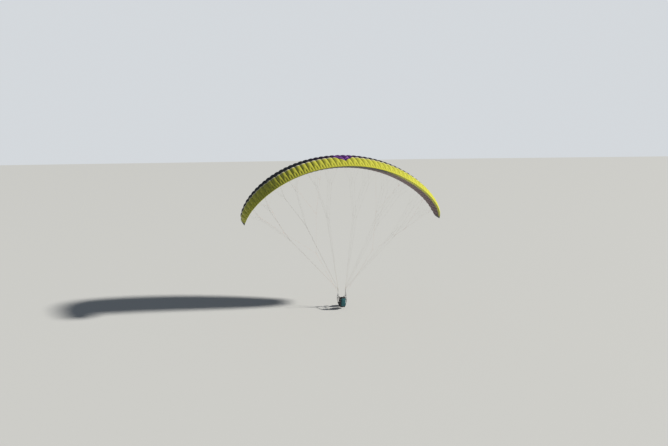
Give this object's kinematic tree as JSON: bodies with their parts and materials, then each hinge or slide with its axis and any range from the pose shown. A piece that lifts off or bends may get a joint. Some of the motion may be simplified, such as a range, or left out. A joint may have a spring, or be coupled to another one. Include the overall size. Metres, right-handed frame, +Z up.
{
  "type": "tandem paraglider",
  "caption": "Inflated tandem paraglider wing with suspension lines, risers, brake handles, spreader bars and a pilot and a passenger harness.",
  "frame": {"origin": "on the chord of the centre rib, 0.3 of the root chord behind the leading edge, straight above the main carabiners", "axes": "+Y in the direction of flight, +X to the right across the span, +Z up"},
  "size_m": [12.1812, 3.4971, 9.5374],
  "materials": {
    "canopy_cloth": "coated woven nylon, lime yellow above, black and purple at the leading edge",
    "line_sheath": "braided sheath",
    "brake_line_sheath": "braided sheath",
    "webbing": "woven polyester webbing",
    "harness_cloth": "heavy woven nylon",
    "container_cloth": "heavy woven nylon, teal",
    "steel": "polished",
    "alloy": "anodised, satin",
    "handle_plastic": "covered grip"
  },
  "bodies": {
    "wing": {"canopy_1_right": "canopy_cloth", "canopy_1_left": "canopy_cloth", "canopy_2_right": "canopy_cloth", "canopy_2_left": "canopy_cloth", "canopy_3_right": "canopy_cloth", "canopy_3_left": "canopy_cloth", "canopy_4_right": "canopy_cloth", "canopy_4_left": "canopy_cloth", "canopy_5_right": "canopy_cloth", "canopy_5_left": "canopy_cloth", "tip_right": "canopy_cloth", "tip_left": "canopy_cloth", "riser_a_right": "webbing", "riser_a_left": "webbing", "a_lines_right": "line_sheath", "a_lines_left": "line_sheath", "riser_b_right": "webbing", "riser_b_left": "webbing", "b_lines_right": "line_sheath", "b_lines_left": "line_sheath", "riser_c_right": "webbing", "riser_c_left": "webbing", "c_lines_right": "line_sheath", "c_lines_left": "line_sheath", "brake_main_right": "brake_line_sheath", "brake_main_left": "brake_line_sheath", "brake_pulley_right": "alloy", "brake_pulley_left": "alloy", "main_carabiner_right": "steel", "main_carabiner_left": "steel"},
    "brake_lines_left": {"brake_lines_left": "brake_line_sheath"},
    "brake_lines_right": {"brake_lines_right": "brake_line_sheath"},
    "brake_handle_left": {"brake_handle_left": "handle_plastic"},
    "brake_handle_right": {"brake_handle_right": "handle_plastic"},
    "spreaders": {"spreader_bar_right": "alloy", "spreader_bar_left": "alloy"},
    "pilot_harness": {"pilot_carabiner_right": "steel", "pilot_carabiner_left": "steel", "pilot_seat": "harness_cloth", "pilot_back": "harness_cloth", "pilot_container": "container_cloth", "reserve_container": "harness_cloth", "pilot_protector": "harness_cloth", "pilot_webbing_right": "webbing", "pilot_leg_strap_right": "webbing", "pilot_webbing_left": "webbing", "pilot_leg_strap_left": "webbing", "pilot_chest_strap": "webbing"},
    "passenger_harness": {"passenger_carabiner_right": "steel", "passenger_carabiner_left": "steel", "passenger_seat": "harness_cloth", "passenger_back": "harness_cloth", "passenger_protector": "harness_cloth", "passenger_webbing_right": "webbing", "passenger_leg_strap_right": "webbing", "passenger_webbing_left": "webbing", "passenger_leg_strap_left": "webbing", "passenger_chest_strap": "webbing"}
  },
  "joints": [
    {"name": "spreader_pitch", "type": "hinge", "parent": "wing", "child": "spreaders", "pos_m": [0, 0, -8.3], "axis": [1, 0, 0], "range_deg": [-15, 15]},
    {"name": "pilot_swing", "type": "hinge", "parent": "spreaders", "child": "pilot_harness", "pos_m": [0, -0.28, -8.3865], "axis": [1, 0, 0], "range_deg": [-15, 5]},
    {"name": "passenger_swing", "type": "hinge", "parent": "spreaders", "child": "passenger_harness", "pos_m": [0, 0.28, -8.3865], "axis": [1, 0, 0], "range_deg": [-5, 15]},
    {"name": "brake_left", "type": "slide", "parent": "wing", "child": "brake_handle_left", "axis": [-0.1191, 0, -0.9929], "range_m": [0, 0.6], "stiffness_N_per_m": 40, "springref_m": -0.01},
    {"name": "brake_line_left", "type": "slide", "parent": "wing", "child": "brake_lines_left", "axis": [0.4454, 0.2672, -0.8545], "range_m": [0, 0.6], "deforming": ["brake_main_left"]},
    {"name": "brake_right", "type": "slide", "parent": "wing", "child": "brake_handle_right", "axis": [0.1191, 0, -0.9929], "range_m": [0, 0.6], "stiffness_N_per_m": 40, "springref_m": -0.01},
    {"name": "brake_line_right", "type": "slide", "parent": "wing", "child": "brake_lines_right", "axis": [-0.4454, 0.2672, -0.8545], "range_m": [0, 0.6], "deforming": ["brake_main_right"]}
  ],
  "couplings": [
    {"joint": "brake_line_left", "follows": "brake_left", "ratio": 1},
    {"joint": "brake_line_right", "follows": "brake_right", "ratio": 1}
  ]
}
